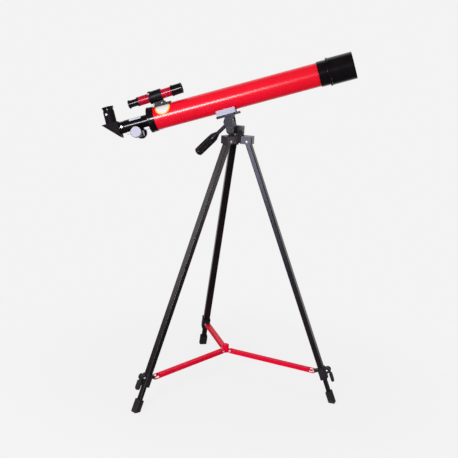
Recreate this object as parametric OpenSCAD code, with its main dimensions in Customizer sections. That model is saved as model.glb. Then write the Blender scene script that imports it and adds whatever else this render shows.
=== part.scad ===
// Small refractor telescope on a light folding tripod.
// Millimetres, +Z up. The camera plate points along +X, the pan axis is the Z axis, the floor is Z = 0.

/* [Stand] */
// Turn of the three legs about the pan axis, degrees
leg_turn = 5; // [-20:1:20]
// Radius of the circle that the leg pivots lie on
pivot_radius = 29; // [28:0.5:34]
// Height of the leg pivots above the floor
pivot_height = 642; // [600:1:760]
// Angle between each leg and the vertical, degrees
leg_splay = 22; // [18:0.5:25]
// Width of an upper leg, across the splay
leg_w = 17; // [16:0.5:20]
// Depth of an upper leg, along the splay
leg_d = 13; // [12:0.5:15]
// Wall of the leg tubes
leg_wall = 1.2; // [0.8:0.1:1.4]
// Width of a lower leg
shin_w = 13; // [11:0.5:13.5]
// Depth of a lower leg
shin_d = 9; // [7:0.5:9.5]
// Length of a lower leg
shin_len = 410; // [300:5:440]
// Length of the locking collar at the end of an upper leg
collar_len = 31; // [28:1:40]
// Wall of the locking collar round the leg
collar_wall = 2; // [1.5:0.1:3]
// Visible length of lower leg between collar and foot
shin_show = 34; // [32:1:60]
// Length of a rubber foot along the leg
foot_len = 30.4; // [26:0.2:40]
// Depth of the socket in a foot
foot_socket = 20; // [14:1:24]
// Wall of a rubber foot round the lower leg
foot_wall = 3.2; // [2:0.1:5]
// Width of a leg bracket on the hub
bracket_w = 24; // [23:0.5:30]
// Height of a leg bracket on the hub
bracket_h = 19; // [18:0.5:24]
// Outer radius of the leg brackets
bracket_reach = 42; // [42:0.5:48]
// Diameter of the leg pivot rivets
rivet_d = 4; // [3:0.5:5]

/* [Locks] */
// Distance of the lever pin from the leg axis
lever_out = 14.5; // [13.5:0.5:18]
// Radius of the lever's cam
cam_r = 6.5; // [5:0.5:7]
// Width of the lever's cam between the collar ears
cam_w = 7.4; // [6:0.2:9]
// Length of the lever paddle below its pin
paddle_len = 33; // [26:1:40]
// Width of the lever paddle
paddle_w = 14; // [12:1:18]
// Thickness of the lever paddle
paddle_t = 5; // [4:0.5:6]

/* [Spreader] */
// Distance of the arm pin from the face of the collar
arm_pin_clear = 12; // [12:0.5:15]
// Radius of the circle of pins on the spreader hub
hub_pin_r = 13; // [12.5:0.5:16]
// Height of the hub pins above the leg pins
arm_rise = 17.3; // [12:0.5:24]
// Width of a spreader arm
arm_w = 13; // [12:0.5:15]
// Sheet thickness of a spreader arm
arm_wall = 1.3; // [1:0.1:1.6]
// Height of a spreader arm
arm_h = 9.6; // [9:0.2:11]
// Diameter of the spreader pins
pin_d = 3; // [2.5:0.1:3.2]
// Free length of the slot that the leg pin runs in as the stand folds
fold_slot = 9; // [8:0.5:10]
// Radius of the spreader hub's core
hub_core_r = 8; // [6:0.5:8.5]
// Height of the spreader hub above its pins
hub_top = 15.5; // [10:0.5:20]

/* [Head] */
// Distance of the tilt axle behind the pan axis
tilt_back = 14.5; // [14:0.5:16]
// Slope of the camera plate as drawn, degrees
tilt_rest = 19.3; // [10:0.1:30]
// Radius of the round foot of the tilting neck
lobe_r = 10.4; // [9.5:0.1:10.6]
// Thickness of the tilting neck
neck_w = 22; // [20:0.5:26]
// Radius of the turntable on the hub
turntable_r = 17.5; // [16:0.5:19]
// Thickness of the turntable
turntable_t = 6; // [5:0.5:7]
// Thickness of the upright that carries the tilt axle
upright_t = 12.5; // [10:0.5:15]
// Height of the upright above the tilt axle
upright_top = 9.5; // [8:0.5:11]
// Diameter of the tilt axle
axle_d = 8; // [6:0.5:9]
// Diameter of the pan bolt
pan_bolt_d = 6; // [5:0.5:6.5]
// Underside of the camera plate above the tilt axle
plate_low = 33.5; // [33:0.1:36]
// Thickness of the camera plate
plate_t = 6; // [4:0.5:8]
// Length of the camera plate
plate_len = 52; // [48:1:72]
// Width of the camera plate
plate_w = 40; // [36:1:46]
// Diameter of the screw that holds the telescope, a quarter inch
stud_d = 6.35; // [6:0.05:6.4]
// Diameter of the thumbwheel of that screw
wheel_d = 13; // [11:0.5:13.5]
// Angle of the pan handle below the camera plate, degrees
handle_drop = 27; // [22:1:30]
// Diameter of the handle rod
handle_rod_d = 9.4; // [8:0.2:9.6]
// Diameter of the handle grip
handle_grip_d = 22; // [18:0.5:23]
// Length of the handle from the neck to its tip
handle_len = 114; // [100:1:130]

/* [Tube] */
// Turn of the telescope on the camera plate, degrees
saddle_turn = 17; // [-20:1:20]
// Height of the tube's axis above the tilt axle, square to the plate
tube_rise = 74.25; // [73:0.25:80]
// Outer diameter of the main tube
tube_d = 58; // [56:0.5:60]
// Wall of the main tube
tube_wall = 1; // [0.8:0.1:1.4]
// Distance from the tilt axle back to the rear end of the tube
tube_rear = 174; // [168:0.5:190]
// Length of the main tube
tube_len = 413; // [400:1:440]
// Length of the saddle block
block_len = 47.5; // [44:0.5:54]
// Width of the saddle block
block_w = 40; // [36:0.5:42]
// Outer diameter of the objective cell
cell_d = 61.9; // [60.4:0.1:63]
// Clear opening of the objective
aperture = 49; // [46:0.5:49]
// Distance from the end of the tube to the rear of the dew shield
shield_start = 22.5; // [20:0.5:30]
// Length of the dew shield
shield_len = 65; // [60:0.5:90]
// Wall of the dew shield
shield_wall = 2.1; // [1.2:0.1:2.4]
// Depth of the lens-cap seat in the mouth of the dew shield
cap_seat_len = 12; // [8:0.5:16]

/* [Focuser] */
// Turn of the focuser about the tube's axis, degrees
focuser_turn = 6; // [0:0.5:12]
// Length of the rear cell behind the tube
rear_cell_len = 17; // [16:0.5:24]
// Outer diameter of the rear cell
rear_cell_d = 64; // [62:0.5:66]
// Length of the focuser sleeve
sleeve_len = 61.5; // [58:0.5:72]
// Outer diameter of the focuser sleeve
sleeve_d = 32; // [31:0.2:32.4]
// Outer diameter of the draw tube
draw_d = 27; // [26.6:0.1:27.2]
// Length of the draw tube ahead of its end collar
draw_len = 124; // [110:1:130]
// Length of the draw tube's end collar
draw_collar_len = 14; // [13:0.5:20]
// Module of the rack and pinion teeth
tooth_module = 0.8; // [0.7:0.05:0.85]
// Number of teeth on the pinion
pinion_teeth = 14; // [12:1:14]
// Distance from the back of the rear cell to the pinion
pinion_back = 33; // [31:0.25:38]
// Diameter of the focus knobs
knob_d = 28; // [24:0.5:30]
// Thickness of a focus knob
knob_t = 9.5; // [8:0.5:12]
// Diameter of the bright disc on a focus knob
cap_d = 26; // [20:0.5:27]

/* [Diagonal] */
// Barrel diameter of diagonal and eyepiece
barrel_d = 24.5; // [24.4:0.05:24.55]
// Turn of the diagonal in the draw tube, degrees
diagonal_turn = 0; // [-10:1:20]
// Distance from the draw tube to the eyepiece axis
diagonal_reach = 18.5; // [18:0.5:26]
// Height of the top of the diagonal's body
diagonal_top = 17; // [16.5:0.25:18.5]
// Width of the diagonal's body
diagonal_w = 31; // [29:0.5:34]
// Thickness of the mirror cover
mirror_cover_t = 4; // [2:0.25:4.5]
// Height of the eyepiece holder
holder_h = 31; // [28:0.5:34]
// Outer diameter of the eyepiece holder
holder_d = 27.6; // [27.2:0.1:29]
// Height of the eyepiece's head
eyepiece_head = 10.5; // [10:0.5:16]

/* [Finder] */
// Height of the finder's axis above the tube's axis
finder_rise = 53; // [52:0.25:58]
// Upward aim of the finder against the tube, degrees
finder_tilt = 2.5; // [0:0.5:3]
// Diameter of the finder tube
finder_d = 23; // [22:0.25:23.5]
// Outer diameter of the finder ring
finder_ring_d = 29.4; // [29:0.2:31]
// Length of the finder ring
finder_ring_len = 32; // [30:0.5:40]
// Position of the rear end of the finder ring along the tube
finder_ring_rear = 176; // [172:0.5:190]
// Length of the finder tube behind its ring
finder_back = 26.5; // [24:0.5:36]
// Length of the finder tube ahead of its ring
finder_ahead = 32; // [30:0.5:44]
// Length of the finder's front shade
finder_shade_len = 27; // [24:0.5:40]
// Length of the finder's eyepiece
finder_eyepiece_len = 28.3; // [22:0.1:32]

/* [Fits] */
// Gap between pieces that are fixed to each other
seat_gap = 0.05; // [0.02:0.01:0.1]
// Radial gap of a shaft or slide that runs in a bore
run_gap = 0.06; // [0.03:0.01:0.1]
// Gap between pieces that move past each other
move_gap = 0.3; // [0.25:0.05:0.4]

/* [Hidden] */
$fn = 72;

front = 0;
far = 1;
near = 2;

// Colours of the materials.
black = [0.1, 0.1, 0.11];
dark_grey = [0.24, 0.24, 0.26];
red = [0.8, 0.05, 0.06];
bright = [0.8, 0.81, 0.83];
rubber = [0.06, 0.06, 0.06];
glass = [0.55, 0.7, 0.75];

// Points of the stand in the upright plane of one leg:
// x is across the leg, away from the stand, and s runs down the leg from its pivot.
function leg_r(x, s) = pivot_radius + x * cos(leg_splay) + s * sin(leg_splay);
function leg_z(x, s) = pivot_height + x * sin(leg_splay) - s * cos(leg_splay);

leg_corner = 2;
leg_top = 6;
bracket_low = pivot_height - 6;
bracket_high = bracket_low + bracket_h;
bracket_roof = 3.5;
bracket_skin = 2;
bracket_pocket = 17.5;
hub_r = 19;
hub_low = bracket_low + 2;
rivet_head = 1.4;

// Places along the leg, measured up from where its axis meets the floor.
floor_reach = pivot_height / cos(leg_splay);
foot_start = floor_reach - foot_len;
foot_corner = 3;
shin_end = foot_start + foot_socket;
collar_end = foot_start - shin_show;
collar_start = collar_end - collar_len;
collar_w = leg_w + 2 * collar_wall;
collar_d = leg_d + 2 * collar_wall;
leg_in_collar = 15;
leg_end = collar_start + leg_in_collar;
pin_in_collar = 5;
arm_pin_drop = collar_start + pin_in_collar;

lever_s = collar_start + 10;
ear_t = 3.6;
ear_r = cam_r + 1.2;
lever_pin_d = 3;
paddle_gap = 2.5;

arm_pin_inset = collar_d / 2 + arm_pin_clear;
arm_pin_r = leg_r(-arm_pin_inset, arm_pin_drop);
arm_pin_z = leg_z(-arm_pin_inset, arm_pin_drop);
hub_pin_z = arm_pin_z + arm_rise;
arm_len = sqrt(pow(arm_pin_r - hub_pin_r, 2) + pow(arm_rise, 2));
arm_slope = asin(arm_rise / arm_len);
arm_below = 5;
arm_end_r = arm_h - arm_below;
arm_lug_w = arm_w - 2 * arm_wall - 2 * move_gap;
arm_lug_r = 4;
slot_h = pin_d + 2.2;
pin_head_t = 1.2;
hub_foot = 1;

tilt_z = bracket_high + move_gap + lobe_r + 0.7;
turntable_low = bracket_high + move_gap;
neck_gap = 0.5;
upright_y = neck_w / 2 + neck_gap;
plate_high = plate_low + plate_t;
plate_shift = 2;
wheel_u = 5;
window_low = 18.7;
window_high = 28.2;
window_w = wheel_d + 2;
wheel_low = window_low + 2;
wheel_t = 5;
handle_u = -4;
handle_w = 17.85;
grip_start = 39.4;
shoulder = 13;

tube_r = tube_d / 2;
tube_front = tube_len - tube_rear;
bore_r = tube_r - tube_wall;
block_mid = -0.5;
spigot = 13;
cell_front = tube_front + shield_start + 14;
lens_seat = tube_front + 11.5;
lens_r = aperture / 2 + 1;
lens_curve = 300;
crown_t = 6;
flint_t = 3.4;
retainer_t = 4;
// The retaining ring bears on the bulged front of the crown lens at the edge of its own hole.
retainer_back = lens_seat + flint_t + crown_t + seat_gap
  - lens_curve + sqrt(pow(lens_curve, 2) - pow(aperture / 2 - 0.5, 2));
shield_rear = tube_front + shield_start;
shield_front = shield_rear + shield_len;
shield_r = cell_d / 2 + seat_gap + shield_wall;

cell_screw_turns = [200, 320];
cell_back = -tube_rear - rear_cell_len;
sleeve_end = cell_back - sleeve_len;
pinion_u = cell_back - pinion_back;
pitch_r = tooth_module * pinion_teeth / 2;
tooth_pitch = 3.14159265 * tooth_module;
rack_line = draw_d / 2 + 3.2;
pinion_h = rack_line + pitch_r;
rack_w = 5.2;
rack_front = pinion_u + 64;
rack_back = pinion_u - 24;
keel_w = 12;
keel_low = rack_line + 3.6;
gear_half = 11.2;
gear_w = 19;
gear_low = pinion_h + pitch_r + 2.7;
pinion_w = 6;
knob_in = 26;
boss_half = knob_in - 0.5;
boss_d = 13;
shaft_d = 5;

collar_back = sleeve_end - move_gap - draw_collar_len;
draw_collar_r = 15.3;
draw_screw_u = collar_back + 8;
diagonal_face = collar_back - move_gap;
eyepiece_u = diagonal_face - diagonal_reach;
nose_len = draw_collar_len - 1;
light_r = 10.4;
holder_top = diagonal_top + holder_h;
eyepiece_foot = diagonal_top + 5;
clamp_h = diagonal_top + 22;
clamp_angle = 262;
screw_d = 3;
screw_head_d = 5.8;
screw_head_len = 5.5;

ring_rear = -finder_ring_rear;
ring_front = ring_rear + finder_ring_len;
finder_rear = ring_rear - finder_back;
finder_front = ring_front + finder_ahead;
shade_rear = finder_front - 6;
shade_front = shade_rear + finder_shade_len;
finder_bore = finder_d - 3;
finder_curve = 60;
finder_plug_len = 14;
finder_eye_r = 4;
finder_eye_bore = 14;
aim_u = ring_rear + 2.6;
ring_mid = (ring_rear + ring_front) / 2;
base_rear = ring_rear + 8;
base_front = ring_rear + 49;
base_screw_u = ring_rear + 29;
base_screw_y = 9.5;
base_w = 26;
base_t = 3.6;
base_drop = 4;

// Rounded bar: a w by d section with corner radius r, up from zero by h.
module bar(w, d, r, h) {
  linear_extrude(h) {
    square([w - 2 * r, d], center = true);
    square([w, d - 2 * r], center = true);
    for (x = [-1, 1], y = [-1, 1])
      translate([x * (w / 2 - r), y * (d / 2 - r)]) circle(r);
  }
}

// Cylinder along X from x0 to x1.
module rod_x(x0, x1, d) {
  translate([x0, 0, 0]) rotate([0, 90, 0]) cylinder(h = x1 - x0, d = d);
}

// Cylinder along Y from y0 to y1 at [x, z].
module rod_y(x, z, y0, y1, d) {
  translate([x, y0, z]) rotate([-90, 0, 0]) cylinder(h = y1 - y0, d = d);
}

// Solid turned about X from points of [radius, x].
module turned_x(points) {
  rotate([0, 90, 0]) rotate_extrude() polygon(points);
}

// Outline in X and Z, made t thick about Y = 0.
module plate_y(t) {
  translate([0, t / 2, 0]) rotate([90, 0, 0]) linear_extrude(t) children();
}

// Frames that pieces are drawn in.
module at_leg(i) {
  rotate([0, 0, leg_turn + 120 * i]) translate([pivot_radius, 0, pivot_height])
    rotate([0, -leg_splay, 0]) children();
}
module at_arm(i) {
  rotate([0, 0, leg_turn + 120 * i]) translate([arm_pin_r, 0, arm_pin_z])
    rotate([0, arm_slope, 0]) children();
}
module at_tilt() {
  translate([-tilt_back, 0, tilt_z]) rotate([0, -tilt_rest, 0]) children();
}
// The telescope is turned on the camera plate about the plate's screw.
module at_saddle() {
  at_tilt() translate([wheel_u, 0, 0]) rotate([0, 0, saddle_turn]) translate([-wheel_u, 0, 0]) children();
}
module at_tube() {
  at_saddle() translate([0, 0, tube_rise]) children();
}
module at_focuser() {
  at_tube() rotate([-focuser_turn, 0, 0]) children();
}
module at_diagonal() {
  at_focuser() rotate([-diagonal_turn, 0, 0]) children();
}
module at_holder() {
  at_diagonal() translate([eyepiece_u, 0, 0]) children();
}
module at_finder() {
  at_tube() translate([0, 0, finder_rise]) children();
}
// Tilts the finder's tube about the middle of its ring.
module aimed() {
  translate([ring_mid, 0, 0]) rotate([0, -finder_tilt, 0]) translate([-ring_mid, 0, 0]) children();
}
module at_handle() {
  at_tilt() translate([handle_u, 0, handle_w]) rotate([0, 180 - handle_drop, 0]) children();
}

// Stand.
module tripod_hub() color(dark_grey) difference() {
  union() {
    translate([0, 0, hub_low]) cylinder(h = bracket_high - hub_low, r = hub_r);
    for (i = [front, far, near]) rotate([0, 0, leg_turn + 120 * i])
      translate([bracket_reach / 2 + 6, 0, bracket_low])
        bar(bracket_reach - 12, bracket_w, leg_corner, bracket_h);
  }
  for (i = [front, far, near]) rotate([0, 0, leg_turn + 120 * i]) {
    translate([bracket_pocket, -leg_w / 2 - move_gap, bracket_low - 1])
      cube([bracket_reach - bracket_skin - bracket_pocket, leg_w + 2 * move_gap,
            bracket_h - bracket_roof + 1]);
    rod_y(pivot_radius, pivot_height, -bracket_w, bracket_w, rivet_d + 2 * seat_gap);
  }
  translate([0, 0, hub_low - 1])
    cylinder(h = bracket_h + 2, d = pan_bolt_d + 2 * run_gap);
}

module leg_rivets() color(bright) for (i = [front, far, near]) rotate([0, 0, leg_turn + 120 * i]) {
  rod_y(pivot_radius, pivot_height, -bracket_w / 2, bracket_w / 2, rivet_d);
  for (side = [-1, 1])
    rod_y(pivot_radius, pivot_height, side * bracket_w / 2 - (side < 0 ? rivet_head : 0),
          side * bracket_w / 2 + (side > 0 ? rivet_head : 0), rivet_d + 3);
}

module upper_leg(i) color(black) at_leg(i) difference() {
  translate([0, 0, -leg_end]) bar(leg_d, leg_w, leg_corner, leg_end + leg_top);
  translate([0, 0, -leg_end - 1])
    bar(leg_d - 2 * leg_wall, leg_w - 2 * leg_wall, leg_corner - leg_wall / 2, leg_end + leg_top + 2);
  rod_y(0, 0, -leg_w, leg_w, rivet_d + 2 * run_gap);
}

module leg_collar(i) color(black) at_leg(i) difference() {
  union() {
    translate([0, 0, -collar_end]) bar(collar_d, collar_w, leg_corner, collar_len);
    // Lug that the spreader arm straddles.
    translate([-arm_pin_inset, -arm_lug_w / 2, -arm_pin_drop - arm_lug_r])
      cube([arm_pin_inset, arm_lug_w, 2 * arm_lug_r]);
    rod_y(-arm_pin_inset, -arm_pin_drop, -arm_lug_w / 2, arm_lug_w / 2, 2 * arm_lug_r);
    // Ears that hold the lever pin.
    for (side = [-1, 1]) translate([0, side * (cam_w + ear_t + 2 * move_gap) / 2, 0]) {
      rod_y(lever_out, -lever_s, -ear_t / 2, ear_t / 2, 2 * ear_r);
      translate([0, -ear_t / 2, -lever_s - ear_r]) cube([lever_out, ear_t, 2 * ear_r]);
    }
  }
  translate([0, 0, -leg_end])
    bar(leg_d + 2 * seat_gap, leg_w + 2 * seat_gap, leg_corner, leg_end);
  translate([0, 0, -collar_end - 1])
    bar(shin_d + 2 * move_gap, shin_w + 2 * move_gap, leg_corner, collar_len);
  rod_y(-arm_pin_inset, -arm_pin_drop, -arm_w, arm_w, pin_d + 2 * seat_gap);
  rod_y(lever_out, -lever_s, -arm_w, arm_w, lever_pin_d + 2 * seat_gap);
  // Room for the cam between the ears.
  rod_y(lever_out, -lever_s, -cam_w / 2 - move_gap, cam_w / 2 + move_gap, 2 * cam_r + 2 * move_gap);
}

module collar_pins(i) color(bright) at_leg(i) {
  riveted(-arm_pin_inset, -arm_pin_drop, arm_w + 2 * move_gap, pin_d);
  riveted(lever_out, -lever_s, cam_w + 2 * ear_t + 2 * move_gap, lever_pin_d);
}

// Pin along Y with a head at each end, over a length w.
module riveted(x, z, w, d) {
  rod_y(x, z, -w / 2 - pin_head_t, w / 2 + pin_head_t, d);
  for (side = [-1, 1])
    rod_y(x, z, side * (w + pin_head_t) / 2 - pin_head_t / 2,
          side * (w + pin_head_t) / 2 + pin_head_t / 2, d + 2.6);
}

module lower_leg(i) color(dark_grey) at_leg(i) difference() {
  translate([0, 0, -shin_end]) bar(shin_d, shin_w, leg_corner, shin_len);
  translate([0, 0, -shin_end - 1])
    bar(shin_d - 2 * leg_wall, shin_w - 2 * leg_wall, leg_corner - leg_wall / 2, shin_len + 2);
}

module foot(i) color(rubber) difference() {
  at_leg(i) difference() {
    translate([0, 0, -floor_reach - 20])
      bar(shin_d + 2 * foot_wall, shin_w + 2 * foot_wall, foot_corner, floor_reach + 20 - foot_start);
    translate([0, 0, -shin_end - seat_gap])
      bar(shin_d + 2 * seat_gap, shin_w + 2 * seat_gap, leg_corner, foot_socket + 1);
  }
  translate([-pivot_height, -pivot_height, -pivot_height])
    cube([2 * pivot_height, 2 * pivot_height, pivot_height]);
}

module lock_lever(i) color(black) at_leg(i) translate([lever_out, 0, -lever_s]) difference() {
  union() {
    rod_y(0, 0, -cam_w / 2, cam_w / 2, 2 * cam_r);
    translate([paddle_gap, -cam_w / 2, -ear_r - 4]) cube([paddle_t - 1, cam_w, ear_r + 4]);
    translate([paddle_gap, -paddle_w / 2, -paddle_len + paddle_w / 2])
      cube([paddle_t, paddle_w, paddle_len - paddle_w / 2 - ear_r - 2]);
    translate([paddle_gap, 0, -paddle_len + paddle_w / 2]) rod_x(0, paddle_t, paddle_w);
  }
  rod_y(0, 0, -cam_w, cam_w, lever_pin_d + 2 * run_gap);
}

// Spreader.
module spreader_hub() color(red) difference() {
  union() {
    translate([0, 0, hub_pin_z - arm_lug_r - hub_foot])
      cylinder(h = hub_top + arm_lug_r + hub_foot, r = hub_core_r);
    for (i = [front, far, near]) rotate([0, 0, leg_turn + 120 * i]) {
      translate([hub_core_r / 2, -arm_lug_w / 2, hub_pin_z - arm_lug_r])
        cube([hub_pin_r - hub_core_r / 2, arm_lug_w, 2 * arm_lug_r]);
      rod_y(hub_pin_r, hub_pin_z, -arm_lug_w / 2, arm_lug_w / 2, 2 * arm_lug_r);
    }
  }
  for (i = [front, far, near]) rotate([0, 0, leg_turn + 120 * i])
    rod_y(hub_pin_r, hub_pin_z, -arm_w, arm_w, pin_d + 2 * seat_gap);
}

module spreader_pins() color(bright) for (i = [front, far, near])
  rotate([0, 0, leg_turn + 120 * i]) riveted(hub_pin_r, hub_pin_z, arm_w + 2 * move_gap, pin_d);

// Channel of sheet metal, open below: a round eye on the hub pin, an open slot on the leg pin.
module spreader_arm(i) color(red) at_arm(i) difference() {
  union() {
    for (side = [-1, 1]) translate([0, side * (arm_w - arm_wall) / 2, 0]) {
      translate([-arm_len, -arm_wall / 2, -arm_below]) cube([arm_len, arm_wall, arm_h]);
      for (x = [-arm_len, 0]) rod_y(x, 0, -arm_wall / 2, arm_wall / 2, 2 * arm_end_r);
    }
    translate([-arm_len + arm_lug_r + 2, -arm_w / 2, arm_end_r - arm_wall])
      cube([arm_len - 2 * arm_lug_r - 4 - fold_slot, arm_w, arm_wall]);
  }
  rod_y(-arm_len, 0, -arm_w, arm_w, pin_d + 2 * run_gap);
  translate([-fold_slot, -arm_w, -slot_h / 2]) cube([fold_slot + arm_end_r + 1, 2 * arm_w, slot_h]);
  rod_y(-fold_slot, 0, -arm_w, arm_w, slot_h);
}

// Head.
module pan_base() color(dark_grey) difference() {
  union() {
    translate([0, 0, turntable_low]) cylinder(h = turntable_t, r = turntable_r);
    translate([-tilt_back - lobe_r - 1, upright_y, turntable_low])
      cube([tilt_back + lobe_r + 11, upright_t, tilt_z + upright_top - turntable_low]);
  }
  rod_y(-tilt_back, tilt_z, -upright_y, upright_y, 2 * lobe_r + 2 * neck_gap);
  rod_y(-tilt_back, tilt_z, 0, upright_y + upright_t + 1, axle_d + 2 * seat_gap);
  translate([0, 0, turntable_low - 1])
    cylinder(h = turntable_t + 2, d = pan_bolt_d + 2 * seat_gap);
}

module pan_bolt() color(bright) {
  translate([0, 0, hub_low - move_gap - 1]) {
    cylinder(h = turntable_low + turntable_t - hub_low + move_gap, d = pan_bolt_d);
    translate([0, 0, -0.6]) cylinder(h = 1.6, d = 2.6 * pan_bolt_d);
    translate([0, 0, -5]) cylinder(h = 4.6, d = 1.9 * pan_bolt_d, $fn = 6);
  }
}

module tilt_axle() color(bright) {
  rod_y(-tilt_back, tilt_z, 4 - neck_w / 2, upright_y + upright_t + 0.5, axle_d);
  rod_y(-tilt_back, tilt_z, upright_y + upright_t + seat_gap, upright_y + upright_t + 4, 1.7 * axle_d);
}

module tilt_platform() color(dark_grey) at_tilt() difference() {
  union() {
    rod_y(0, 0, -neck_w / 2, neck_w / 2, 2 * lobe_r);
    plate_y(neck_w) polygon([
      [-lobe_r + 0.6, 0], [-lobe_r + 1.2, 6], [-lobe_r + 0.5, 14], [-11.6, 20], [-11.2, 24],
      [-4, plate_low + 1], [13.6, plate_low + 1], [13.2, 26], [lobe_r + 1, 8], [lobe_r - 0.2, 0]
    ]);
    translate([plate_shift, 0, plate_low]) bar(plate_len, plate_w, 4, plate_t);
  }
  rod_y(0, 0, 4 - neck_w / 2 - move_gap, neck_w, axle_d + 2 * run_gap);
  // Window for the thumbwheel, with round ends.
  plate_window();
  translate([wheel_u, 0, window_low]) cylinder(h = plate_high, d = stud_d + 2 * run_gap);
  at_handle_bore();
}

module plate_window() {
  window_r = (window_high - window_low) / 2;
  translate([-2.5, 0, window_low + window_r]) {
    for (side = [-1, 1]) translate([0, side * (window_w / 2 - window_r), 0])
      rod_x(0, 30, 2 * window_r);
    translate([0, window_r - window_w / 2, -window_r]) cube([30, window_w - 2 * window_r, 2 * window_r]);
  }
  translate([wheel_u, 0, window_low]) cylinder(h = window_high - window_low, d = window_w);
}

module at_handle_bore() {
  translate([handle_u, 0, handle_w]) rotate([0, 180 - handle_drop, 0])
    rod_x(-move_gap, 30, handle_rod_d + 2 * run_gap);
}

module platform_screw() color(bright) at_tilt() translate([wheel_u, 0, 0]) {
  translate([0, 0, wheel_low]) cylinder(h = wheel_t, d = wheel_d);
  translate([0, 0, wheel_low + 1]) cylinder(h = tube_rise - tube_r - wheel_low - 2, d = stud_d);
}

module handle_rod() color(dark_grey) at_handle() rod_x(0, grip_start + 30, handle_rod_d);

module handle_grip() color(black) at_handle() difference() {
  turned_x([
    [0, grip_start], [handle_rod_d / 2 + 0.8, grip_start], [handle_grip_d / 2 - 0.5, grip_start + shoulder],
    [handle_grip_d / 2, grip_start + shoulder + 4], [handle_grip_d / 2, handle_len - 3],
    [handle_grip_d / 2 - 3, handle_len], [0, handle_len]
  ]);
  rod_x(grip_start - 1, grip_start + 30 + seat_gap, handle_rod_d + 2 * seat_gap);
}

// Tube.
module saddle_block() color(bright) at_saddle() difference() {
  translate([block_mid, 0, plate_high + seat_gap])
    bar(block_len, block_w, 1.5, tube_rise - plate_high - tube_r / 2);
  translate([0, 0, tube_rise]) rod_x(block_mid - block_len, block_mid + block_len, tube_d + 2 * seat_gap);
  translate([wheel_u, 0, plate_high - 1]) cylinder(h = 11, d = stud_d + 2 * run_gap);
  for (side = [-1, 1]) translate([block_mid + side * block_len / 3, 0, plate_high - 1])
    cylinder(h = tube_rise, d = 4 + 2 * seat_gap);
}

module saddle_screws() color(bright) at_saddle() for (side = [-1, 1])
  translate([block_mid + side * block_len / 3, 0, 0]) {
    translate([0, 0, plate_high + 0.5])
      cylinder(h = tube_rise - tube_r - plate_high + 2, d = 4);
    translate([0, 0, tube_rise - bore_r + 0.6]) cylinder(h = 2.6, d = 7.5);
  }

module main_tube() color(red) at_tube() difference() {
  rod_x(-tube_rear, tube_front, tube_d);
  rod_x(-tube_rear - 1, tube_front + 1, 2 * bore_r);
  for (side = [-1, 1]) translate([block_mid + side * block_len / 3, 0, -tube_d])
    cylinder(h = tube_d, d = 4 + 2 * seat_gap);
  for (side = [-1, 1]) translate([base_screw_u, side * base_screw_y, 0])
    cylinder(h = tube_d, d = screw_d + 2 * seat_gap);
  rotate([-focuser_turn, 0, 0]) cell_screws(tube_r + 1, seat_gap);
}

// Two screws through the tube into the rear cell's spigot.
module cell_screws(reach, gap) {
  for (a = cell_screw_turns) rotate([a, 0, 0]) translate([-tube_rear + 6, 0, bore_r - 4])
    cylinder(h = reach - bore_r + 4, d = screw_d + 2 * gap);
}

module objective_cell() color(black) at_tube() difference() {
  turned_x([
    [aperture / 2, tube_front - spigot], [bore_r - seat_gap, tube_front - spigot],
    [bore_r - seat_gap, tube_front + seat_gap], [cell_d / 2, tube_front + seat_gap],
    [cell_d / 2, cell_front], [aperture / 2, cell_front]
  ]);
  rod_x(lens_seat, cell_front + 1, 2 * lens_r + 4 * seat_gap);
}

// Rows of [radius, x] down a bulged lens face of radius curve, with its middle at x0.
function bulge(r, x0, curve) =
  [for (n = [0 : 6]) [r * n / 6, x0 + curve - sign(curve) * sqrt(curve * curve - pow(r * n / 6, 2))]];
function reversed(rows) = [for (n = [len(rows) - 1 : -1 : 0]) rows[n]];

// Crown lens in front, flint lens behind it, with a matched face between them.
module objective_lens() color(glass) at_tube() {
  turned_x(concat([[0, lens_seat + seat_gap], [lens_r, lens_seat + seat_gap]],
    reversed(bulge(lens_r, lens_seat + flint_t, lens_curve))));
  turned_x(concat(bulge(lens_r, lens_seat + flint_t + seat_gap, lens_curve),
    reversed(bulge(lens_r, lens_seat + flint_t + crown_t, -lens_curve))));
}

module lens_retainer() color(black) at_tube() difference() {
  rod_x(retainer_back, retainer_back + retainer_t, 2 * lens_r + 2 * seat_gap);
  rod_x(lens_seat, lens_seat + 20, aperture - 1);
}

module dew_shield() color(black) at_tube() turned_x([
  [cell_d / 2 + seat_gap, shield_rear], [shield_r + 1.2, shield_rear],
  [shield_r + 1.5, shield_rear + 0.6], [shield_r + 1.5, shield_rear + 4],
  [shield_r + 0.2, shield_rear + 5.5], [shield_r + 0.2, shield_rear + 8.5], [shield_r, shield_rear + 9],
  [shield_r, shield_front - 0.8], [shield_r - 0.5, shield_front],
  [cell_d / 2 + 0.6, shield_front], [cell_d / 2 + 0.6, shield_front - cap_seat_len],
  [cell_d / 2 + seat_gap, shield_front - cap_seat_len]
]);

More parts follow.
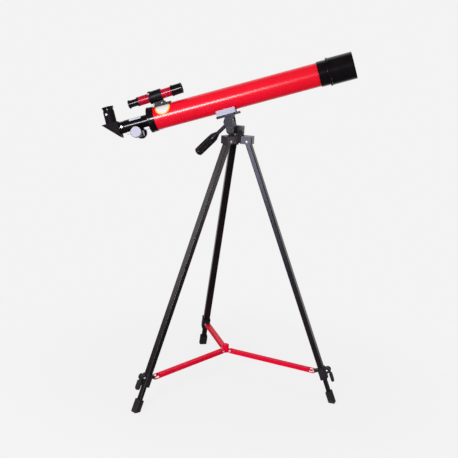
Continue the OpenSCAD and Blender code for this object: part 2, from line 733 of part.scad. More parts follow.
// Focuser. The rack runs along the underside of the draw tube, in a keel below the sleeve.
module focuser_housing() color(black) at_focuser() difference() {
  union() {
    turned_x([
      [0, sleeve_end], [sleeve_d / 2, sleeve_end], [sleeve_d / 2, cell_back],
      [rear_cell_d / 2 - 1.2, cell_back], [rear_cell_d / 2, cell_back + 1.2],
      [rear_cell_d / 2, cell_back + 5], [rear_cell_d / 2 - 1, cell_back + 6.5],
      [rear_cell_d / 2 - 1, -tube_rear - seat_gap], [bore_r - seat_gap, -tube_rear - seat_gap],
      [bore_r - seat_gap, spigot - tube_rear], [0, spigot - tube_rear]
    ]);
    translate([sleeve_end, -keel_w / 2, -keel_low]) cube([sleeve_len, keel_w, keel_low]);
    translate([pinion_u - gear_half, -gear_w / 2, -gear_low]) cube([2 * gear_half, gear_w, gear_low]);
    rod_y(pinion_u, -pinion_h, -boss_half, boss_half, boss_d);
  }
  rod_x(sleeve_end - 1, 0, draw_d + 2 * run_gap);
  turned_x([
    [0, cell_back + 4], [bore_r - 2.5, cell_back + 4], [bore_r - 2.5, 0], [0, 0]
  ]);
  translate([sleeve_end - 1, -rack_w / 2 - 2 * move_gap, -keel_low + 1.4])
    cube([sleeve_len + 12, rack_w + 4 * move_gap, keel_low - 1.4]);
  translate([pinion_u - pitch_r - 1.8, -pinion_w / 2 - 2 * move_gap, -gear_low - 1])
    cube([2 * pitch_r + 3.6, pinion_w + 4 * move_gap, gear_low - rack_line + 2]);
  rod_y(pinion_u, -pinion_h, -knob_in, knob_in, shaft_d + 2 * run_gap);
  cell_screws(tube_r, seat_gap);
  for (u = [-1, 1]) translate([pinion_u + u * (gear_half - 2), 0, -gear_low - 1])
    cylinder(h = 5, d = 2 + 2 * seat_gap);
}

module pinion_cover() color(black) at_focuser() difference() {
  translate([pinion_u, 0, -gear_low - seat_gap - 2]) bar(2 * gear_half, gear_w, 2, 2);
  for (u = [-1, 1]) translate([pinion_u + u * (gear_half - 2), 0, -gear_low - 3])
    cylinder(h = 5, d = 2 + 2 * seat_gap);
}

module focuser_screws() color(black) at_focuser() {
  cell_screws(tube_r + 0.2, 0);
  for (a = cell_screw_turns) rotate([a, 0, 0]) translate([-tube_rear + 6, 0, tube_r + seat_gap])
    cylinder(h = 1.4, d1 = screw_head_d, d2 = screw_head_d - 1.6);
  for (u = [-1, 1]) translate([pinion_u + u * (gear_half - 2), 0, -gear_low - 2 - 2 * seat_gap]) {
    cylinder(h = 5, d = 2);
    translate([0, 0, -1]) cylinder(h = 1, d = 3.8);
  }
}

module draw_tube() color(black) at_focuser() difference() {
  union() {
    rod_x(collar_back, collar_back + draw_collar_len + draw_len, draw_d);
    rod_x(collar_back, collar_back + draw_collar_len, 2 * draw_collar_r);
  }
  rod_x(collar_back - 1, sleeve_end + draw_len + 2, barrel_d + 2 * run_gap);
  rod_y(draw_screw_u, 0, -2 * draw_collar_r, 0, screw_d + 2 * run_gap);
}

// Straight-sided rack teeth that point down, under a strip glued to the draw tube.
module focus_rack() color(bright) at_focuser() difference() {
  plate_y(rack_w) {
    translate([rack_back, -rack_line + tooth_module]) square([rack_front - rack_back, 3]);
    for (n = [-9 : 24]) translate([pinion_u + (n + 0.5) * tooth_pitch, -rack_line])
      polygon([
        [-0.33 * tooth_pitch, 1.2 * tooth_module], [-0.06 * tooth_pitch, -0.65 * tooth_module],
        [0.06 * tooth_pitch, -0.65 * tooth_module], [0.33 * tooth_pitch, 1.2 * tooth_module]
      ]);
  }
  rod_x(rack_back - 1, rack_front + 1, draw_d + 2 * seat_gap);
}

module focus_pinion() color(bright) at_focuser() translate([pinion_u, 0, -pinion_h]) {
  plate_y(pinion_w) {
    circle(pitch_r - tooth_module);
    for (n = [0 : pinion_teeth - 1]) rotate(90 + 360 * n / pinion_teeth)
      polygon([
        [pitch_r - 1.4 * tooth_module, -0.3 * tooth_pitch], [pitch_r, -0.18 * tooth_pitch],
        [pitch_r + 0.65 * tooth_module, -0.06 * tooth_pitch],
        [pitch_r + 0.65 * tooth_module, 0.06 * tooth_pitch],
        [pitch_r, 0.18 * tooth_pitch], [pitch_r - 1.4 * tooth_module, 0.3 * tooth_pitch]
      ]);
  }
  rod_y(0, 0, -knob_in - knob_t + 2, knob_in + knob_t - 2, shaft_d);
}

// Two knobs, hollow on the inside round a hub.
module focus_knobs() color(black) at_focuser() translate([pinion_u, 0, -pinion_h])
  for (side = [0, 1]) mirror([0, side, 0]) rotate([-90, 0, 0]) translate([0, 0, knob_in]) difference() {
    rotate_extrude() polygon([
      [0, 0], [5.2, 0], [5.2, 4], [knob_d / 2 - 2, 5], [knob_d / 2 - 2, 0.6], [knob_d / 2 - 0.8, 0],
      [knob_d / 2, 0.8], [knob_d / 2, knob_t - 0.8], [knob_d / 2 - 0.8, knob_t],
      [cap_d / 2 + seat_gap, knob_t], [cap_d / 2 + seat_gap, knob_t - 0.7], [0, knob_t - 0.7]
    ]);
    translate([0, 0, -1]) cylinder(h = knob_t - 1 + seat_gap, d = shaft_d + 2 * seat_gap);
  }

module knob_caps() color(bright) at_focuser() translate([pinion_u, 0, -pinion_h])
  for (side = [0, 1]) mirror([0, side, 0])
    rod_y(0, 0, knob_in + knob_t - 0.7 + seat_gap, knob_in + knob_t + 0.3, cap_d);

// Diagonal. Its body is a right-angled prism, with the mirror behind the long face.
module prism(grow) {
  top = diagonal_top;
  polygon([
    [diagonal_face, top], [eyepiece_u - top - grow, top],
    [diagonal_face, eyepiece_u - diagonal_face - grow]
  ]);
}

// Slab on the long face: from t0 to t1 behind it, len long and w wide.
module behind_mirror(t0, t1, len, w) {
  translate([eyepiece_u, 0, 0]) rotate([0, 45, 0])
    translate([-len / 2, -w / 2, -t1]) cube([len, w, t1 - t0]);
}

module diagonal_body() color(black) at_diagonal() difference() {
  union() {
    plate_y(diagonal_w) prism(0);
    rod_x(diagonal_face - 1, diagonal_face + nose_len, barrel_d);
    translate([eyepiece_u, 0, diagonal_top - 1]) cylinder(h = holder_h + 1, d = holder_d);
  }
  rod_x(eyepiece_u, diagonal_face + nose_len + 1, 2 * light_r);
  translate([eyepiece_u, 0, 0]) cylinder(h = eyepiece_foot + 1, r = light_r);
  translate([eyepiece_u, 0, eyepiece_foot]) cylinder(h = holder_h, d = barrel_d + 2 * run_gap);
  behind_mirror(-2.2, 0.5, 35, 26);
  translate([eyepiece_u, 0, clamp_h]) rotate([90, 0, clamp_angle - 270])
    cylinder(h = holder_d, d = screw_d + 2 * run_gap);
}

module diagonal_cover() color(black) at_diagonal() difference() {
  plate_y(diagonal_w) prism(mirror_cover_t * sqrt(2));
  plate_y(diagonal_w + 2) prism(seat_gap * sqrt(2));
}

module diagonal_mirror() color(glass) at_diagonal()
  behind_mirror(-2.1, -seat_gap, 34.8, 25.8);

// Thumb screw that points along +Z, with its tip at zero.
module thumb_screw(len) {
  cylinder(h = len, d = screw_d);
  translate([0, 0, len - screw_head_len]) cylinder(h = screw_head_len, d = screw_head_d);
}

module diagonal_screw() color(bright) at_focuser()
  translate([draw_screw_u, -barrel_d / 2 - move_gap, 0]) rotate([90, 0, 0])
    thumb_screw(draw_collar_r - barrel_d / 2 + screw_head_len + 1);

module eyepiece_screw() color(bright) at_holder()
  rotate([0, 0, clamp_angle]) translate([barrel_d / 2 + move_gap, 0, clamp_h]) rotate([0, 90, 0])
    thumb_screw((holder_d - barrel_d) / 2 + screw_head_len + 1);

module eyepiece() color(black) at_holder() difference() {
  rotate_extrude() polygon([
    [0, eyepiece_foot + 2], [barrel_d / 2, eyepiece_foot + 2], [barrel_d / 2, holder_top + seat_gap],
    [holder_d / 2 - 1, holder_top + seat_gap], [holder_d / 2 - 0.8, holder_top + 3],
    [holder_d / 2 - 0.4, holder_top + eyepiece_head - 4],
    [holder_d / 2 + 1.2, holder_top + eyepiece_head - 2],
    [holder_d / 2 + 1.2, holder_top + eyepiece_head], [0, holder_top + eyepiece_head]
  ]);
  translate([0, 0, eyepiece_foot + 1]) cylinder(h = holder_top - eyepiece_foot + 2, r = 8);
  translate([0, 0, holder_top]) cylinder(h = eyepiece_head + 1, r = 5);
  translate([0, 0, holder_top + eyepiece_head - 4])
    cylinder(h = 5, r1 = 5, r2 = holder_d / 2 - 0.4);
}

module eyepiece_lenses() color(glass) at_holder() {
  translate([0, 0, holder_top + 4]) cylinder(h = 3, r = 5 - seat_gap);
  translate([0, 0, eyepiece_foot + 6]) cylinder(h = 4, r = 8 - seat_gap);
}

// Finder.
module finder_bracket() color(black) at_finder() difference() {
  union() {
    aimed() turned_x([
      [0, ring_rear], [finder_ring_d / 2 + 1.2, ring_rear], [finder_ring_d / 2 + 1.2, ring_rear + 5],
      [finder_ring_d / 2, ring_rear + 6], [finder_ring_d / 2, ring_front], [0, ring_front]
    ]);
    plate_y(8) polygon([
      [ring_rear + 6, -finder_ring_d / 2 + 3], [ring_rear + 10, -finder_rise + tube_r + 1],
      [ring_rear + 40, -finder_rise + tube_r + 1], [ring_front - 1, -finder_ring_d / 2 + 3]
    ]);
    translate([(base_rear + base_front) / 2, 0, -finder_rise + tube_r - base_drop])
      bar(base_front - base_rear, base_w, 3, base_t + base_drop);
  }
  aimed() {
    rod_x(ring_rear - 1, ring_front - 4, finder_d + 2.4);
    rod_x(ring_rear - 1, ring_front + 1, finder_d + 2 * seat_gap);
    for (a = [60, -60, 180]) rotate([a, 0, 0]) translate([aim_u, 0, 0])
      cylinder(h = finder_ring_d, d = screw_d + 2 * seat_gap);
  }
  translate([0, 0, -finder_rise]) rod_x(base_rear - 1, base_front + 1, tube_d + 2 * seat_gap);
  for (side = [-1, 1]) translate([base_screw_u, side * base_screw_y, -finder_rise])
    cylinder(h = tube_r + base_t + 1, d = screw_d + 2 * seat_gap);
}

// Three screws that aim the finder and two that hold its base to the tube.
module finder_screws() color(bright) at_finder() {
  aimed() for (a = [60, -60, 180]) rotate([a, 0, 0]) translate([aim_u, 0, finder_d / 2 + seat_gap]) {
    cylinder(h = (finder_ring_d - finder_d) / 2 + 3, d = screw_d);
    translate([0, 0, (finder_ring_d - finder_d) / 2 + 1.5]) cylinder(h = 3, d = screw_head_d - 0.6);
  }
  for (side = [-1, 1]) translate([base_screw_u, side * base_screw_y, -finder_rise + tube_r]) {
    translate([0, 0, -6]) cylinder(h = base_t + 7, d = screw_d);
    translate([0, 0, base_t + seat_gap]) cylinder(h = 2.4, d = screw_head_d);
  }
}

module finder_tube() color(red) at_finder() aimed() difference() {
  rod_x(finder_rear, finder_front, finder_d);
  rod_x(finder_rear - 1, finder_front + 1, finder_bore);
}

module finder_shade() color(black) at_finder() aimed() turned_x([
  [finder_d / 2 + seat_gap, shade_rear], [finder_d / 2 + 2.4, shade_rear],
  [finder_d / 2 + 2.4, shade_rear + 4], [finder_d / 2 + 1.7, shade_rear + 5],
  [finder_d / 2 + 1.4, shade_front - 4], [finder_d / 2 + 1.7, shade_front - 3],
  [finder_d / 2 + 1.7, shade_front], [finder_d / 2 + seat_gap, shade_front]
]);

module finder_lens() color(glass) at_finder() aimed()
  turned_x(concat(bulge(finder_bore / 2 - seat_gap, finder_front - 5, finder_curve),
    reversed(bulge(finder_bore / 2 - seat_gap, finder_front - 1.5, -finder_curve))));

module finder_eyepiece() color(black) at_finder() aimed() difference() {
  turned_x([
    [finder_eye_r, finder_rear - finder_eyepiece_len], [9.4, finder_rear - finder_eyepiece_len],
    [10.9, finder_rear - finder_eyepiece_len + 1.2], [10.9, finder_rear - finder_eyepiece_len + 4],
    [9.2, finder_rear - finder_eyepiece_len + 6], [9.2, finder_rear - 6],
    [finder_d / 2, finder_rear - 5], [finder_d / 2, finder_rear - move_gap],
    [finder_bore / 2 - run_gap, finder_rear - move_gap],
    [finder_bore / 2 - run_gap, finder_rear + finder_plug_len],
    [finder_eye_r, finder_rear + finder_plug_len]
  ]);
  rod_x(finder_rear - finder_eyepiece_len + 6, finder_rear + finder_plug_len + 1, finder_eye_bore);
}

tripod_hub();
leg_rivets();
upper_leg(front);  // upper_leg_front
upper_leg(far);  // upper_leg_far
upper_leg(near);  // upper_leg_near
leg_collar(front);  // leg_collar_front
leg_collar(far);  // leg_collar_far
leg_collar(near);  // leg_collar_near
collar_pins(front);  // collar_pins_front
collar_pins(far);  // collar_pins_far
collar_pins(near);  // collar_pins_near
lower_leg(front);  // lower_leg_front
lower_leg(far);  // lower_leg_far
lower_leg(near);  // lower_leg_near
foot(front);  // foot_front
foot(far);  // foot_far
foot(near);  // foot_near
lock_lever(front);  // lock_lever_front
lock_lever(far);  // lock_lever_far
lock_lever(near);  // lock_lever_near
spreader_hub();
spreader_pins();
spreader_arm(front);  // spreader_arm_front
spreader_arm(far);  // spreader_arm_far
spreader_arm(near);  // spreader_arm_near
pan_base();
pan_bolt();
tilt_axle();
tilt_platform();
platform_screw();
handle_rod();
handle_grip();
saddle_block();
saddle_screws();
main_tube();
objective_cell();
objective_lens();
lens_retainer();
dew_shield();
focuser_housing();
focuser_screws();
pinion_cover();
draw_tube();
focus_rack();
focus_pinion();
focus_knobs();
knob_caps();
diagonal_body();
diagonal_cover();
diagonal_mirror();
diagonal_screw();
eyepiece_screw();
eyepiece();
eyepiece_lenses();
finder_bracket();
finder_screws();
finder_tube();
finder_shade();
finder_lens();
finder_eyepiece();
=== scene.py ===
# Small red refractor telescope with a finder, on a light folding stand.
# Pieces are drawn in millimetres, in the frame of what carries them, and put in place in metres.
import math

import bmesh
import bpy
from mathutils import Matrix, Vector


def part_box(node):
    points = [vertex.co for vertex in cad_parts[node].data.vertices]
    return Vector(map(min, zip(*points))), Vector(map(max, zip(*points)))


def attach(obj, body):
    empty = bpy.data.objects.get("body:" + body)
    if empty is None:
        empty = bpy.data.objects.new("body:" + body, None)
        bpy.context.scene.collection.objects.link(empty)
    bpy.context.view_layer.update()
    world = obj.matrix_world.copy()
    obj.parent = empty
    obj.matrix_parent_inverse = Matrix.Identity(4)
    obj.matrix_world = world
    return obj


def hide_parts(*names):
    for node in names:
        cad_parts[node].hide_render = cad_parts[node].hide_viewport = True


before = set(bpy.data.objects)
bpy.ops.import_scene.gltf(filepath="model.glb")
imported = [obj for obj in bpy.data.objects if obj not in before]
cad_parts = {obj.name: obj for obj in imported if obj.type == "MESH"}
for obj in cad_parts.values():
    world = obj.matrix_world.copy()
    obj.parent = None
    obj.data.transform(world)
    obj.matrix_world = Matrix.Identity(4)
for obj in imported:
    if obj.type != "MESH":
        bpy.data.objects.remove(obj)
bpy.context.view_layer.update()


# ---------------------------------------------------------------------------------- camera
# A long lens about 2.5 m away, a little above the head of the stand and to the right of the
# tube. The camera leans by three degrees, so the stand leans to the right in the picture.
eye = Vector((0.8938, -2.2557, 1.0431))
aim = Vector((-0.0068, -0.0027, 0.4165))
lean = 2.96

lens = bpy.data.cameras.new("camera")
lens.sensor_width = 36
lens.lens = 78.53
camera = bpy.data.objects.new("camera", lens)
camera.matrix_world = (
    Matrix.Translation(eye)
    @ (aim - eye).to_track_quat("-Z", "Y").to_matrix().to_4x4()
    @ Matrix.Rotation(math.radians(lean), 4, "Z")
)
bpy.context.scene.collection.objects.link(camera)
bpy.context.scene.camera = camera


# ---------------------------------------------------------------------------------- studio
# A pale table in front of a pale backdrop. The table keeps the stand's shadow close by and fades
# into the backdrop further out. The room behind the camera is dim, so black and red stay deep in
# their reflections. One softbox left of the camera makes the streak on the tube; four fill the sides.
def paint(red, green, blue):
    """A screen colour of 0 to 255 as the linear colour that a shader takes."""
    shares = [c / 255 for c in (red, green, blue)]
    return tuple(c / 12.92 if c < 0.04 else ((c + 0.055) / 1.055) ** 2.4 for c in shares) + (1.0,)


class Wire:
    """An output socket in a node tree, with the sums and mixes that the finishes use."""

    def __init__(self, tree, socket=None):
        self.tree = tree
        self.socket = socket

    def node(self, kind, settings=None, inputs=None, output=0):
        """A new node: its settings come first, then its sockets, as values or as wires."""
        made = self.tree.nodes.new("ShaderNode" + kind)
        for name, value in (settings or {}).items():
            setattr(made, name, value)
        for name, value in (inputs or {}).items():
            if isinstance(value, Wire):
                self.tree.links.new(value.socket, made.inputs[name])
            else:
                made.inputs[name].default_value = value
        return Wire(self.tree, made.outputs[output])

    def sum(self, operation, left, right):
        return self.node("Math", {"operation": operation}, {0: left, 1: right})

    def __add__(self, other):
        return self.sum("ADD", self, other)

    def __radd__(self, other):
        return self.sum("ADD", other, self)

    def __rsub__(self, other):
        return self.sum("SUBTRACT", other, self)

    def __mul__(self, other):
        return self.sum("MULTIPLY", self, other)

    def __rmul__(self, other):
        return self.sum("MULTIPLY", other, self)

    def ease(self, low, high):
        """Runs smoothly from 0 to 1 while this value runs from low to high."""
        return self.node("MapRange", {"interpolation_type": "SMOOTHSTEP"}, {0: self, 1: low, 2: high})

    def mix(self, low, high):
        """The colour low where this value is 0, and high where it is 1."""
        return self.node("Mix", {"data_type": "RGBA"}, {0: self, 6: low, 7: high}, 2)

    def bump(self, strength, distance):
        """A bumped normal from this height."""
        return self.node("Bump", None, {"Strength": strength, "Distance": distance, "Height": self})

    def to(self, shader, socket):
        self.tree.links.new(self.socket, shader.inputs[socket])


backdrop = paint(243, 243, 243)
dome_low = (0.3, 0.3, 0.31, 1.0)
dome_high = (0.78, 0.78, 0.78, 1.0)
dim = (0.03, 0.029, 0.033, 1.0)
towards_camera = (0.37, -0.93, 0.0)


def rays(tree):
    """Two wires: 1 for what the camera sees itself or through glass, and 1 for reflections."""
    start = Wire(tree)
    kinds = [start.node("LightPath", output=name)
             for name in ("Is Camera Ray", "Is Transmission Ray", "Is Glossy Ray")]
    straight = (kinds[0] + kinds[1]).ease(0.0, 1.0)
    return straight, (1.0 - straight) * kinds[2]


def room_side(place, near, far):
    """The room by its place: the pale backdrop behind the stand, dim towards the camera."""
    facing = place.node("VectorMath", {"operation": "DOT_PRODUCT"}, {0: place, 1: towards_camera}, "Value")
    return facing.ease(far, near).mix(backdrop, dim)


world = bpy.data.worlds.new("studio")
bpy.context.scene.world = world
world.use_nodes = True
straight, mirrored = rays(world.node_tree)
around = straight.node("TexCoord", output="Generated")
dome = around.node("SeparateXYZ", None, {0: around}, "Z").ease(-0.2, 1.0).mix(dome_low, dome_high)
lit = mirrored.mix(dome, room_side(around, -0.25, -0.8))
straight.mix(lit, backdrop).to(world.node_tree.nodes["Background"], "Color")

table_mesh = bpy.data.meshes.new("table")
work = bmesh.new()
bmesh.ops.create_circle(work, cap_ends=True, radius=30, segments=96)
work.to_mesh(table_mesh)
work.free()
table = bpy.data.objects.new("table", table_mesh)
bpy.context.scene.collection.objects.link(table)
table_finish = bpy.data.materials.new("table_paper")
table_finish.use_nodes = True
tree = table_finish.node_tree
paper = tree.nodes["Principled BSDF"]
paper.inputs["Base Color"].default_value = paint(176, 176, 176)
paper.inputs["Roughness"].default_value = 0.9
paper.inputs["Specular IOR Level"].default_value = 0.1
where = Wire(tree).node("TexCoord", output="Object")
reach = where.node("VectorMath", {"operation": "LENGTH"}, {0: where}, "Value")
far_off = reach.ease(0.3, 0.9)
straight, mirrored = rays(tree)
shown = mirrored.mix(far_off.mix((1.0, 1.0, 1.0, 1.0), backdrop), room_side(where, -0.1, -1.2))
room_glow = where.node("Emission", None, {"Color": shown, "Strength": 1.0})
fade = straight * (0.8 + 0.2 * far_off) + mirrored
blend = where.node("MixShader", None, {0: fade, 1: Wire(tree, paper.outputs[0]), 2: room_glow})
blend.to(tree.nodes["Material Output"], "Surface")
table_mesh.materials.append(table_finish)


def softbox(name, place, target, wide, tall, power, tint=(1.0, 1.0, 1.0)):
    """A rectangular lamp at place, facing target."""
    lamp = bpy.data.lights.new(name, "AREA")
    lamp.shape = "RECTANGLE"
    lamp.size, lamp.size_y = wide, tall
    lamp.energy = power
    lamp.color = tint
    made = bpy.data.objects.new(name, lamp)
    turn_to = (Vector(target) - Vector(place)).to_track_quat("-Z", "Y").to_matrix().to_4x4()
    made.matrix_world = Matrix.Translation(place) @ turn_to
    bpy.context.scene.collection.objects.link(made)


softbox("key_softbox", (0.0, -2.33, 1.12), (0.0, 0.0, 0.7), 0.6, 0.36, 30.0, (1.0, 0.97, 1.0))
softbox("low_fill", (-0.42, -2.25, 0.25), (0.05, 0.0, 0.63), 0.6, 0.34, 11.0, (0.74, 0.74, 1.0))
softbox("right_fill", (2.1, 0.55, 0.15), (0.0, -0.05, 0.55), 0.5, 0.4, 2.5, (1.0, 0.9, 0.95))
softbox("left_fill", (-2.2, -0.75, 1.2), (-0.05, -0.05, 0.45), 0.6, 1.0, 6.0, (0.95, 0.93, 1.0))
softbox("side_softbox", (2.0, -0.4, 1.2), (0.1, 0.0, 0.5), 0.5, 1.4, 5.0, (1.0, 0.97, 0.95))


# ---------------------------------------------------------------------------------- hub of the stand
# One casting of dark grey glass-filled plastic: a round middle with three brackets that hold
# the leg tops. Every edge of it is rounded, and it has the fine grain of its mould.
def surface(name, fixed):
    """A new material: returns it, its shader, and the place on the piece as a wire."""
    material = bpy.data.materials.new(name)
    material.use_nodes = True
    shader = material.node_tree.nodes["Principled BSDF"]
    for socket, value in fixed.items():
        shader.inputs[socket].default_value = value
    return material, shader, Wire(material.node_tree).node("TexCoord", output="Object")


def moulded(name, dark, light, rough, grain, coat=0.0, shine=0.3):
    """Moulded plastic: slow clouds of shade and gloss, and a fine grain of half a millimetre."""
    material, shader, where = surface(name, {"Coat Weight": coat, "Coat Roughness": 0.1,
                                             "Specular IOR Level": shine})
    clouds = where.node("TexNoise", None, {"Vector": where, "Scale": 38.0, "Detail": 4.0})
    sparks = where.node("TexNoise", None, {"Vector": where, "Scale": 1900.0, "Detail": 2.0})
    clouds.ease(0.3, 0.7).mix(dark, light).to(shader, "Base Color")
    (rough - 0.05 + 0.1 * clouds + 0.06 * sparks).to(shader, "Roughness")
    sparks.bump(grain, 0.00006).to(shader, "Normal")
    return material


def piece(work, name, finish, body, slot, *nodes):
    """Makes the mesh an object that rides on a body and stands for CAD nodes."""
    mesh = bpy.data.meshes.new(name)
    work.to_mesh(mesh)
    work.free()
    for material in finish if isinstance(finish, list) else [finish]:
        mesh.materials.append(material)
    mesh.shade_smooth()
    mesh.set_sharp_from_angle(angle=math.radians(40))
    made = bpy.data.objects.new(name, mesh)
    bpy.context.scene.collection.objects.link(made)
    even = made.modifiers.new("even_shading", "WEIGHTED_NORMAL")
    even.mode = "FACE_AREA"
    even.keep_sharp = True
    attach(made, body)
    if nodes:
        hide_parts(*nodes)
    return made


def softened(node, edge, name, finish, body, slot):
    """A copy of a CAD node with its sharp edges rounded by edge millimetres."""
    work = bmesh.new()
    work.from_mesh(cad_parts[node].data)
    bmesh.ops.remove_doubles(work, verts=work.verts, dist=2e-6)
    bmesh.ops.dissolve_limit(work, angle_limit=math.radians(0.1), verts=work.verts, edges=work.edges)
    sharp = [e for e in work.edges if e.is_manifold and e.calc_face_angle(0.0) > math.radians(32)]
    bmesh.ops.bevel(work, geom=sharp, offset=edge * 0.001, offset_type="OFFSET", segments=2,
                    profile=0.5, affect="EDGES", clamp_overlap=True, material=-1)
    return piece(work, name, finish, body, slot, node)


head_grey = moulded("head_grey", paint(34, 28, 31), paint(42, 36, 39), 0.29, 0.12, 0.0, 0.5)
softened("tripod_hub", 0.6, "hub_casting", head_grey, "stand", "head_plastic")


# ---------------------------------------------------------------------------------- leg rivets
# Bright steel rivets through the hub's brackets, one for each leg to swing on. Both heads are
# domed by the riveting punch.
MM = Matrix.Scale(0.001, 4)
leg_angles = {"front": 5, "far": 125, "near": 245}
splay = 22
pivot_out, pivot_height = 29, 642


def leg_frame(leg):
    """Frame of a leg: its pivot is the origin, and the leg runs down -Z."""
    return (MM @ Matrix.Rotation(math.radians(leg_angles[leg]), 4, "Z")
            @ Matrix.Translation((pivot_out, 0, pivot_height))
            @ Matrix.Rotation(math.radians(-splay), 4, "Y"))


def turn(work, rows, place, steps=48, soft=0.0, ribs=None):
    """Adds a turned form to a mesh: rows of (along X, radius), with corners rounded by soft.
    ribs is (from, to, least radius, depth): every other column of points there is sunk."""
    before = set(work.verts)
    corners = [work.verts.new((x, 0, r)) for x, r in rows]
    for pair in zip(corners, corners[1:]):
        work.edges.new(pair)
    bmesh.ops.remove_doubles(work, verts=corners, dist=1e-5)
    if soft:
        bmesh.ops.bevel(work, geom=[v for v in work.verts if v not in before and len(v.link_edges) == 2],
                        offset=soft, offset_type="OFFSET", segments=3, profile=0.5,
                        affect="VERTICES", clamp_overlap=True, material=-1)
    outline = [v for v in work.verts if v not in before]
    edges = list({e for v in outline for e in v.link_edges})
    bmesh.ops.spin(work, geom=outline + edges, cent=(0, 0, 0), axis=(1, 0, 0),
                   angle=2 * math.pi, steps=steps, use_merge=True)
    new = [v for v in work.verts if v not in before]
    bmesh.ops.remove_doubles(work, verts=new, dist=1e-5)
    new = [v for v in work.verts if v not in before]
    if ribs:
        start, end, least, depth = ribs
        for v in new:
            r = math.hypot(v.co.y, v.co.z)
            column = round(math.atan2(v.co.y, v.co.z) / (2 * math.pi / steps))
            if start <= v.co.x <= end and r > least and column % 2:
                v.co.y *= 1 - depth / r
                v.co.z *= 1 - depth / r
    bmesh.ops.recalc_face_normals(work, faces=list({f for v in new for f in v.link_faces}))
    bmesh.ops.transform(work, matrix=place, verts=new)


def domed_rivet(work, place, half, shank, head, rise):
    """A rivet along X with a domed head at each end, from -half - rise to half + rise."""
    side = [(half, shank), (half, head), (half + 0.3 * rise, head), (half + 0.75 * rise, 0.72 * head),
            (half + 0.95 * rise, 0.35 * head), (half + rise, 0)]
    turn(work, [(-x, r) for x, r in reversed(side)] + side, place, 32)


def plated(name, dark, light, rough, metal):
    """Plated or polished steel: fine rubbed lines and faint stains in its gloss."""
    material, shader, where = surface(name, {"Metallic": metal})
    stains = where.node("TexNoise", None, {"Vector": where, "Scale": 160.0, "Detail": 5.0})
    rubbed = where.node("TexNoise", None, {"Vector": where, "Scale": 2600.0, "Detail": 2.0})
    stains.ease(0.3, 0.75).mix(dark, light).to(shader, "Base Color")
    (rough - 0.06 + 0.12 * stains + 0.05 * rubbed).to(shader, "Roughness")
    rubbed.bump(0.12, 0.00003).to(shader, "Normal")
    return material


bright_steel = plated("bright_steel", paint(212, 213, 218), paint(234, 235, 238), 0.34, 0.6)
across = Matrix.Rotation(math.radians(90), 4, "Z")
work = bmesh.new()
for leg in leg_angles:
    domed_rivet(work, leg_frame(leg) @ across, 12, 2, 3.5, 1.4)
piece(work, "leg_rivet_heads", bright_steel, "stand", "bright_steel", "leg_rivets")


# ---------------------------------------------------------------------------------- upper legs
# Rectangular tubes of extruded aluminium, anodised black. The extrusion leaves faint lines
# along each leg, and handling leaves slightly paler patches on the faces.
def anodised(name, leg, dark, light, rough):
    """Anodised extrusion: lines along one leg, with a slow change of sheen."""
    material, shader, where = surface(name, {"Metallic": 0.25})
    pivot = leg_frame(leg).translation
    along = where.node("Mapping", {"vector_type": "TEXTURE"}, {
        "Vector": where, "Location": pivot,
        "Rotation": (0.0, math.radians(-splay), math.radians(leg_angles[leg]))})
    lines = along.node("Mapping", None, {"Vector": along, "Scale": (900.0, 900.0, 6.0)})
    drawn = lines.node("TexNoise", None, {"Vector": lines, "Scale": 1.0, "Detail": 3.0})
    handled = along.node("TexNoise", None, {"Vector": along, "Scale": 14.0, "Detail": 4.0})
    (0.3 * drawn + 0.7 * handled).ease(0.3, 0.7).mix(dark, light).to(shader, "Base Color")
    (rough - 0.04 + 0.04 * drawn + 0.04 * handled).to(shader, "Roughness")
    drawn.bump(0.05, 0.00004).to(shader, "Normal")
    return material


def dress(finish, *nodes):
    """Gives CAD nodes that keep their own shape a finish."""
    for node in nodes:
        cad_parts[node].data.materials.clear()
        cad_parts[node].data.materials.append(finish)


for leg in leg_angles:
    dress(anodised("leg_black_" + leg, leg, paint(26, 20, 22), paint(33, 27, 30), 0.28),
          "upper_leg_" + leg)


# ---------------------------------------------------------------------------------- leg collars
# Black moulded collars pressed on the ends of the upper legs, with a lug for the spreader arm
# and two ears for the lock lever. Bright pins with domed heads go through lug and ears.
collar_black = moulded("collar_black", paint(30, 26, 29), paint(38, 33, 36), 0.4, 0.2)
arm_pin = (-20.5, -602.02)
lever_pin = (14.5, -607.02)
for leg in leg_angles:
    softened("leg_collar_" + leg, 0.5, "collar_moulding_" + leg, collar_black,
             "leg_" + leg, "satin_plastic")
    work = bmesh.new()
    for (x, z), half in ((arm_pin, 6.8), (lever_pin, 7.6)):
        domed_rivet(work, leg_frame(leg) @ Matrix.Translation((x, 0, z)) @ across, half, 1.5, 2.8, 1.2)
    piece(work, "collar_rivets_" + leg, bright_steel, "leg_" + leg, "bright_steel",
          "collar_pins_" + leg)


# ---------------------------------------------------------------------------------- lock levers
# Small cam levers of the same black plastic, one on the outside of each collar, with a rounded
# paddle that a thumb lifts.
for leg in leg_angles:
    softened("lock_lever_" + leg, 0.8, "lever_moulding_" + leg, collar_black,
             "lever_" + leg, "satin_plastic")


# ---------------------------------------------------------------------------------- lower legs
# Narrower aluminium tubes that slide in the upper legs, anodised a little greyer.
for leg in leg_angles:
    dress(anodised("shin_grey_" + leg, leg, paint(26, 21, 22), paint(35, 30, 32), 0.32),
          "lower_leg_" + leg)


